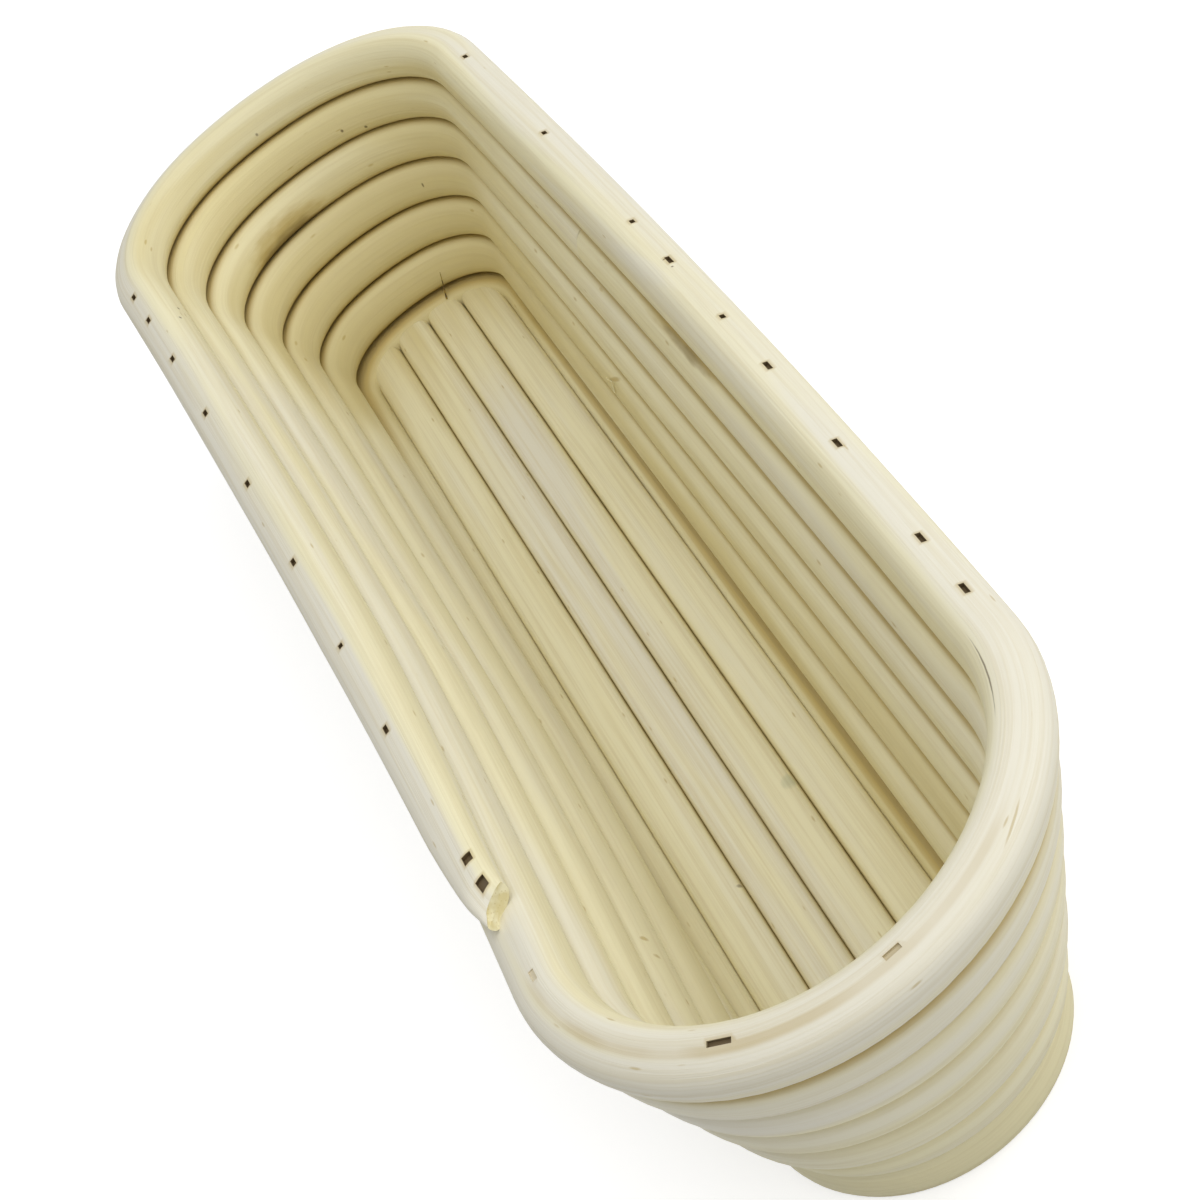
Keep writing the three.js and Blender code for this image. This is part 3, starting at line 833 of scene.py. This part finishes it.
def mark_group():
    """A long stain or split at a place on a cane's unrolled skin."""
    name = "Cane mark"
    if name in bpy.data.node_groups:
        return bpy.data.node_groups[name]
    floats = ["Along", "Around", "Length", "Width", "Turn", "Uneven"]
    tree, given, result = new_group(
        name, [("Skin", "NodeSocketVector")] + [(key, "NodeSocketFloat") for key in floats], ["Mask"])
    middle = add_node(tree, "ShaderNodeCombineXYZ", X=given.outputs["Along"], Y=given.outputs["Around"])
    size = add_node(tree, "ShaderNodeCombineXYZ", X=given.outputs["Length"], Y=given.outputs["Width"], Z=1.0)
    turned = add_node(tree, "ShaderNodeVectorRotate", {"rotation_type": "Z_AXIS", "invert": True},
                      Vector=given.outputs["Skin"], Center=middle.outputs[0], Angle=given.outputs["Turn"])
    off = vector_node(tree, "SUBTRACT", turned.outputs[0], middle.outputs[0])
    share = vector_node(tree, "DIVIDE", off.outputs[0], size.outputs[0])
    reach = vector_node(tree, "DOT_PRODUCT", share.outputs[0], share.outputs[0])
    total = math_node(tree, "ADD", reach.outputs["Value"], given.outputs["Uneven"])
    tree.links.new(ramp(tree, total, *MARK_EDGE), result.inputs["Mask"])
    return tree


# Stains and splits: mm along a cane, mm outwards from its top, half their length and width in mm, degrees
Mark = namedtuple("Mark", "along around length width turn strength tint")
RIM_MARKS = (
    Mark(785, -0.5, 1.0, 0.35, 60, 0.9, "umber"),
    Mark(781, -0.5, 0.5, 0.4, 0, 0.8, "umber"),
    Mark(790, -5, 24, 2.8, -7, 0.6, "cream"),
    Mark(1078, -8, 0.7, 0.6, 0, 0.9, "umber"),
    Mark(1085, -6.5, 0.7, 0.6, 0, 0.9, "umber"),
    Mark(1042, -6, 1.8, 0.4, 0, 0.6, "ochre"),
    Mark(1044, -7.5, 1.8, 0.4, 0, 0.6, "ochre"),
    Mark(991, -10.5, 0.7, 0.6, 0, 0.7, "umber"),
    Mark(135, -10, 0.7, 0.6, 0, 0.8, "umber"),
    Mark(128, -11.5, 0.8, 0.6, 0, 0.8, "umber"),
    Mark(629, -4, 15, 0.22, -1, 0.75, "umber"),
    Mark(599, 2, 6, 0.3, -5, 0.5, "ochre"),
)
WALL_MARKS = (
    Mark(2787, -7.5, 24, 4.5, 0, 0.65, "ochre"),
    Mark(2785, -8.5, 20, 3, 0, 0.6, "umber"),
    Mark(1953, -5, 0.6, 0.6, 0, 0.8, "umber"),
    Mark(1072, -3.5, 4.6, 0.5, -13, 0.6, "ochre"),
    Mark(3376, -2.3, 30, 1.4, 0, 0.5, "ochre"),
    Mark(3372, -2.6, 18, 0.8, 0, 0.4, "umber"),
    Mark(1509, -3.5, 1.1, 0.8, 0, 0.6, "ochre"),
    Mark(1514, -4, 1.1, 0.7, 0, 0.6, "ochre"),
)
SLAT_MARKS = {
    0: (Mark(257, 4.2, 1.0, 1.0, 0, 0.6, "umber"),),
    2: (Mark(240, 3.6, 3.6, 2.2, 0, 0.4, "moss"),),
}


def new_material(name):
    material = bpy.data.materials.new(name)
    material.use_nodes = True
    tree = material.node_tree
    return material, tree, tree.nodes["Principled BSDF"]


# Painted crease shade and dust in the cracks: where each colour starts and where it is full, its strength and
# its name
CreaseShadeTint = namedtuple("CreaseShadeTint", "low high strength tint")
CREASE_SHADE_TINTS = (
    CreaseShadeTint(0.05, 0.55, 0.4, "honey"),
    CreaseShadeTint(0.4, 0.9, 0.72, "ochre"),
    CreaseShadeTint(0.85, 1.0, 0.3, "umber"),
)

# Skin of the cane: how much yellower its tone and painted shade make it, its patterns, the stains at its
# slots, its marks and its gloss
STRAW_RANGE = (0.0, 0.5)
HONEY_RANGE = (0.5, 1.0)
PATCH_STRENGTH = 0.42
PATCH_PALEST = 0.15
PORE_STRENGTH = 0.5
STAIN_STRENGTH = 0.5
STAINED_OCHRE = (0.05, 0.45)
STAINED_UMBER = (0.4, 0.85)
MARK_GRAIN = (140, 900, 1)
MARK_UNEVEN = 0.7
SMOOTHEST, ROUGHEST = 0.6, 0.8
FIBRE_BUMP = 0.5
FIBRE_DEPTH = 0.07 * MM
WALL_STREAKS = 0.3
SLAT_STREAKS = 0.42


def cane_material(name, radius, shift, marks=(), streaks=WALL_STREAKS):
    """Peeled cane: cream to straw and honey, painted darker and yellower where shade falls, streaked along
    its length, with painted shade and dust in ochre and umber in its cracks, stained at its slots.
    """
    colours = bpy.context.scene.basket_colours
    material, tree, shader = new_material(name)
    skin = add_node(tree, "ShaderNodeUVMap", {"uv_map": "grain"}).outputs[0]
    grain = add_node(tree, "ShaderNodeGroup", {"node_tree": grain_group()},
                     Skin=skin, Radius=radius, Shift=shift).outputs
    patches = math_node(tree, "SUBTRACT", scaled(tree, grain["Patches"], PATCH_STRENGTH), PATCH_PALEST)
    # Painted shade and each slat's tone, plus random paler and yellower patches, turn the cane to straw and
    # honey
    tone_shade_and_patches = math_node(tree, "ADD", attribute(tree, "age"), patches)
    colour = mix_colour(tree, ramp(tree, tone_shade_and_patches, *STRAW_RANGE), colours.cream, colours.straw)
    colour = mix_colour(tree, ramp(tree, tone_shade_and_patches, *HONEY_RANGE), colour, colours.honey)
    colour = mix_colour(tree, scaled(tree, grain["Fibres"], streaks), colour, colours.fibre)
    colour = mix_colour(tree, scaled(tree, grain["Pores"], PORE_STRENGTH), colour, colours.ochre)
    # Painted shade and dust in the creases between canes, in honey, then ochre, then umber at the darkest
    crack = attribute(tree, "crack")
    for crease_tint in CREASE_SHADE_TINTS:
        mask = scaled(tree, ramp(tree, crack, crease_tint.low, crease_tint.high), crease_tint.strength)
        colour = mix_colour(tree, mask, colour, getattr(colours, crease_tint.tint))
    stain = attribute(tree, "stain")
    mask = scaled(tree, ramp(tree, stain, *STAINED_OCHRE), STAIN_STRENGTH)
    colour = mix_colour(tree, mask, colour, colours.ochre)
    colour = mix_colour(tree, ramp(tree, stain, *STAINED_UMBER), colour, colours.umber)
    ragged = noise_node(tree, vector_node(tree, "MULTIPLY", skin, MARK_GRAIN).outputs[0])
    uneven = scaled(tree, ragged, MARK_UNEVEN)
    for mark in marks:
        shape = add_node(tree, "ShaderNodeGroup", {"node_tree": mark_group()}, Skin=skin, Uneven=uneven,
                         Along=mark.along * MM, Around=mark.around * MM, Length=mark.length * MM,
                         Width=mark.width * MM, Turn=math.radians(mark.turn))
        mask = scaled(tree, shape.outputs["Mask"], mark.strength)
        colour = mix_colour(tree, mask, colour, getattr(colours, mark.tint))
    tree.links.new(colour, shader.inputs["Base Color"])
    rough = add_node(tree, "ShaderNodeMapRange", Value=grain["Fibres"], To_Min=SMOOTHEST, To_Max=ROUGHEST)
    tree.links.new(rough.outputs[0], shader.inputs["Roughness"])
    bump = add_node(tree, "ShaderNodeBump", Height=grain["Fibres"], Strength=FIBRE_BUMP, Distance=FIBRE_DEPTH)
    tree.links.new(bump.outputs[0], shader.inputs["Normal"])
    return material


# Cut ends: how often their patterns change in a metre, and how these show
END_PORES = 1600.0
END_PORE_RANGE = (0.3, 0.1)
END_PORE_STRENGTH = 0.4
END_PATCHES = 500.0
END_HONEY_RANGE = (0.35, 0.65)
END_ROUGH_RANGE = (-1.0, 1.2)


def end_material():
    """Cut end of a cane: yellower, with open pores."""
    name = "Cane end"
    if name in bpy.data.materials:
        return bpy.data.materials[name]
    colours = bpy.context.scene.basket_colours
    material, tree, shader = new_material(name)
    place = object_place(tree)
    pores = add_node(tree, "ShaderNodeTexVoronoi", Vector=place, Scale=END_PORES)
    soft = noise_node(tree, place, END_PATCHES)
    colour = mix_colour(tree, ramp(tree, soft, *END_HONEY_RANGE), colours.straw, colours.honey)
    mask = scaled(tree, ramp(tree, pores.outputs["Distance"], *END_PORE_RANGE), END_PORE_STRENGTH)
    colour = mix_colour(tree, mask, colour, colours.ochre)
    tree.links.new(colour, shader.inputs["Base Color"])
    tree.links.new(ramp(tree, soft, *END_ROUGH_RANGE), shader.inputs["Roughness"])
    return material


# Brads: how often their rust changes in a metre, and how it shows
RUST_PATCHES = 900.0
RUST_DETAIL = 3.0
RUST_RANGE = (0.45, 0.65)
RUST_ROUGH_RANGE = (-0.2, 1.0)
STEEL_SHOWN = 0.8


def steel_material():
    """Dull, slightly rusted steel of the brads."""
    colours = bpy.context.scene.basket_colours
    material, tree, shader = new_material("Brad steel")
    rust = noise_node(tree, object_place(tree), RUST_PATCHES, RUST_DETAIL)
    colour = mix_colour(tree, ramp(tree, rust, *RUST_RANGE), colours.steel, colours.umber)
    tree.links.new(colour, shader.inputs["Base Color"])
    tree.links.new(ramp(tree, rust, *RUST_ROUGH_RANGE), shader.inputs["Roughness"])
    shader.inputs["Metallic"].default_value = STEEL_SHOWN
    return material


def finish_cane(piece, skin):
    """Gives a cane its skin and the look of its cut ends."""
    piece.data.materials.append(skin)
    piece.data.materials.append(end_material())


# Where each cane's pattern of grain starts, in metres, so that no two look alike
RING_SHIFT = 11.0
FIRST_SHIFT = 0.0
SECOND_SHIFT = 5.0
SLAT_SHIFT = 20.0


class BASKET_OT_floor_ring(bpy.types.Operator):
    """Bends the floor ring, with its two ends butted at the far end"""

    bl_idname = "basket.floor_ring"
    bl_label = "Bend Floor Ring"

    def execute(self, context):
        winding = Winding(context.scene.basket_sizes)
        gap = winding.half_gap
        butt = winding.ring_butt()
        sections = [winding.ring(s) for s in winding.steps(butt + gap, butt + winding.loop - gap)]
        piece = rolled_cane("ring_cane", sections, winding.swell)
        finish_cane(piece, cane_material("Ring cane", winding.radius, RING_SHIFT))
        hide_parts("floor_ring")
        return {"FINISHED"}


class BASKET_OT_wall_canes(bpy.types.Operator):
    """Winds the two lengths of cane that make the wall and the rim"""

    bl_idname = "basket.wall_canes"
    bl_label = "Wind Wall Canes"

    def execute(self, context):
        winding = Winding(context.scene.basket_sizes)
        gap = winding.half_gap
        butt, end = winding.wall_butt(), winding.end()
        slots = rim_slots(winding)
        lower = [winding.wound(s) for s in winding.steps(winding.start(), butt - gap)]
        piece = rolled_cane("first_wall_cane", lower, winding.swell)
        finish_cane(piece, cane_material("First wall cane", winding.radius, FIRST_SHIFT, WALL_MARKS))
        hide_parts("wall_cane_lower")
        upper = [winding.wound(s) for s in winding.steps(butt + gap, end, slots)]
        piece = rolled_cane("second_wall_cane", upper, winding.swell, slots, winding.sizes.scarf_slant,
                            covered_to=end - winding.loop, rub=partial(rim_rub, winding))
        finish_cane(piece, cane_material("Second wall cane", winding.radius, SECOND_SHIFT, RIM_MARKS))
        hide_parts("wall_cane_upper")
        return {"FINISHED"}


class BASKET_OT_floor_slats(bpy.types.Operator):
    """Lays the straight canes of the floor"""

    bl_idname = "basket.floor_slats"
    bl_label = "Lay Floor Slats"

    def execute(self, context):
        winding = Winding(context.scene.basket_sizes)
        sizes = winding.sizes
        for index in range(sizes.slat_count):
            piece = rolled_slat(f"slat_cane_{index + 1}", winding, index)
            material = cane_material(f"Slat cane {index + 1}", sizes.slat_pitch / 2, SLAT_SHIFT + index,
                                     SLAT_MARKS.get(index, ()), SLAT_STREAKS)
            finish_cane(piece, material)
            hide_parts(f"floor_slat_{index + 1}")
        return {"FINISHED"}


class BASKET_OT_brads(bpy.types.Operator):
    """Gives the brads their dull steel"""

    bl_idname = "basket.brads"
    bl_label = "Finish Brads"

    def execute(self, context):
        steel = steel_material()
        for name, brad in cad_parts.items():
            if "brad" in name:
                brad.data.materials.clear()
                brad.data.materials.append(steel)
        return {"FINISHED"}


# Splinters that stand off the canes: foot and tip from the basket's origin, and thickness, in mm
Splinter = namedtuple("Splinter", "foot tip thickness")
PALE_SPLINTERS = (
    Splinter((-53.4, 27.0, 28.6), (-46.0, 27.6, 31.6), 0.6),
    Splinter((-49.4, 26.6, 27.2), (-49.6, 27.4, 30.0), 0.5),
)
DARK_SPLINTERS = (
    Splinter((-156.2, 6.7, 9.3), (-157.6, 9.4, 16.0), 0.5),
)
SPLINTER_SIDES = 7
SPLINTER_TAPER = 5
SPLINTER_FIBRES = 1200.0
SPLINTER_FIBRE_RANGE = (0.4, 0.7)
SPLINTER_ROUGHNESS = 0.7


def splinter_piece(name, splinters, material):
    """One piece from a few thin tapering splinters."""
    bm = bmesh.new()
    for splinter in splinters:
        foot, tip = Vector(splinter.foot) * MM, Vector(splinter.tip) * MM
        lean = (tip - foot).to_track_quat("Z", "Y").to_matrix().to_4x4()
        thick = splinter.thickness * MM / 2
        bmesh.ops.create_cone(bm, cap_ends=True, segments=SPLINTER_SIDES, radius1=thick,
                              radius2=thick / SPLINTER_TAPER, depth=(tip - foot).length,
                              matrix=Matrix.Translation((foot + tip) / 2) @ lean)
    piece = finished_mesh(name, bm)
    piece.data.materials.append(material)


def old_splinter_material():
    """Splinter gone brown, with paler fibres."""
    colours = bpy.context.scene.basket_colours
    material, tree, shader = new_material("Old splinter")
    fibres = noise_node(tree, object_place(tree), SPLINTER_FIBRES)
    colour = mix_colour(tree, ramp(tree, fibres, *SPLINTER_FIBRE_RANGE), colours.umber, colours.ochre)
    tree.links.new(colour, shader.inputs["Base Color"])
    shader.inputs["Roughness"].default_value = SPLINTER_ROUGHNESS
    return material


class BASKET_OT_splinters(bpy.types.Operator):
    """Leaves the few splinters that stand off the canes"""

    bl_idname = "basket.splinters"
    bl_label = "Leave Splinters"

    def execute(self, context):
        splinter_piece("pale_splinters", PALE_SPLINTERS, end_material())
        splinter_piece("dark_splinter", DARK_SPLINTERS, old_splinter_material())
        return {"FINISHED"}


# The camera that took the view: degrees, metres from the ring's middle, and its lens and sensor in mm
VIEW_AZIMUTH = 92.89
VIEW_ELEVATION = 37.262
VIEW_ROLL = -38.245
VIEW_DISTANCE = 0.61467
VIEW_TARGET = Vector((-0.0004, -0.0018, 0.02))
VIEW_LENS = 86.5
SENSOR = 36.0

# The studio: metres, and shares of full white
WHITE = (1, 1, 1, 1)
TABLE_SIZE = 6.0
TABLE_GLOW = 0.6
TABLE_ROUGHNESS = 0.9
WORLD_LEVEL = 0.43

Light = namedtuple("Light", "name place size watts")
LIGHTS = (
    Light("overhead", (0.2, 0.0, 1.6), 1.4, 10.3),
    Light("window", (0.0, 1.5, 0.9), 1.0, 8.8),
    Light("fill", (1.3, 0.75, 0.9), 1.0, 6.0),
)


def add_light(light):
    """Hangs a square soft light that faces the basket."""
    lamp = bpy.data.lights.new(light.name, "AREA")
    lamp.size = light.size
    lamp.energy = light.watts
    hung = bpy.data.objects.new(light.name, lamp)
    hung.location = light.place
    hung.rotation_euler = (-Vector(light.place)).to_track_quat("-Z", "Y").to_euler()
    bpy.context.scene.collection.objects.link(hung)


def camera_sees(tree):
    """1 for rays from the camera, straight or by way of gloss and glass."""
    path = add_node(tree, "ShaderNodeLightPath")
    seen = math_node(tree, "MAXIMUM", path.outputs["Is Camera Ray"], path.outputs["Is Glossy Ray"])
    return math_node(tree, "MAXIMUM", seen, path.outputs["Is Transmission Ray"])


class BASKET_OT_stage(bpy.types.Operator):
    """Sets up a pale table, soft light and the camera"""

    bl_idname = "basket.stage"
    bl_label = "Set Up Studio"

    def execute(self, context):
        self.lay_table()
        self.hang_lights(context.scene)
        self.aim_camera(context.scene)
        context.scene.view_settings.view_transform = "Standard"
        return {"FINISHED"}

    def lay_table(self):
        bm = bmesh.new()
        bmesh.ops.create_grid(bm, x_segments=1, y_segments=1, size=TABLE_SIZE / 2)
        mesh = bpy.data.meshes.new("table")
        bm.to_mesh(mesh)
        bm.free()
        table = bpy.data.objects.new("table", mesh)
        bpy.context.scene.collection.objects.link(table)
        material, tree, shader = new_material("Pale table")
        shader.inputs["Base Color"].default_value = (*bpy.context.scene.basket_colours.table, 1)
        shader.inputs["Roughness"].default_value = TABLE_ROUGHNESS
        shader.inputs["Emission Color"].default_value = WHITE
        glow = scaled(tree, camera_sees(tree), TABLE_GLOW)
        tree.links.new(glow, shader.inputs["Emission Strength"])
        mesh.materials.append(material)

    def hang_lights(self, scene):
        world = bpy.data.worlds.new("Studio")
        scene.world = world
        world.use_nodes = True
        tree = world.node_tree
        background = tree.nodes["Background"]
        background.inputs["Color"].default_value = WHITE
        level = add_node(tree, "ShaderNodeMapRange", Value=camera_sees(tree), To_Min=WORLD_LEVEL, To_Max=1.0)
        tree.links.new(level.outputs[0], background.inputs["Strength"])
        for light in LIGHTS:
            add_light(light)

    def aim_camera(self, scene):
        azimuth, elevation = math.radians(VIEW_AZIMUTH), math.radians(VIEW_ELEVATION)
        level = math.cos(elevation)
        back = Vector((math.sin(azimuth) * level, -math.cos(azimuth) * level, math.sin(elevation)))
        right = (-back).cross(Vector((0, 0, 1))).normalized()
        up = right.cross(-back)
        turned = Matrix.Rotation(math.radians(VIEW_ROLL), 3, back)
        basis = Matrix((turned @ right, turned @ up, back)).transposed()
        camera_data = bpy.data.cameras.new("camera")
        camera_data.sensor_width = SENSOR
        camera_data.lens = VIEW_LENS
        camera = bpy.data.objects.new("camera", camera_data)
        place = MIDDLE + VIEW_TARGET + back * VIEW_DISTANCE
        camera.matrix_world = Matrix.Translation(place) @ basis.to_4x4()
        scene.collection.objects.link(camera)
        scene.camera = camera


class BASKET_PT_sidebar(bpy.types.Panel):
    """Lists the basket's pieces and its sizes"""

    bl_idname = "BASKET_PT_sidebar"
    bl_label = "Proofing Basket"
    bl_space_type = "VIEW_3D"
    bl_region_type = "UI"
    bl_category = "Basket"

    def draw(self, context):
        for operator in OPERATORS:
            self.layout.operator(operator.bl_idname)
        for group in (context.scene.basket_sizes, context.scene.basket_colours):
            box = self.layout.box()
            for name in group.__annotations__:
                box.prop(group, name)


OPERATORS = (
    BASKET_OT_stage,
    BASKET_OT_floor_slats,
    BASKET_OT_floor_ring,
    BASKET_OT_wall_canes,
    BASKET_OT_brads,
    BASKET_OT_splinters,
)
CLASSES = (BasketSizes, BasketColours, *OPERATORS, BASKET_PT_sidebar)


def register():
    for item in CLASSES:
        bpy.utils.register_class(item)
    bpy.types.Scene.basket_sizes = PointerProperty(type=BasketSizes)
    bpy.types.Scene.basket_colours = PointerProperty(type=BasketColours)


def unregister():
    del bpy.types.Scene.basket_colours
    del bpy.types.Scene.basket_sizes
    for item in reversed(CLASSES):
        bpy.utils.unregister_class(item)


def main():
    register()
    bpy.ops.basket.stage()
    bpy.ops.basket.floor_slats()
    bpy.ops.basket.floor_ring()
    bpy.ops.basket.wall_canes()
    bpy.ops.basket.brads()
    bpy.ops.basket.splinters()


if __name__ == "__main__":
    main()
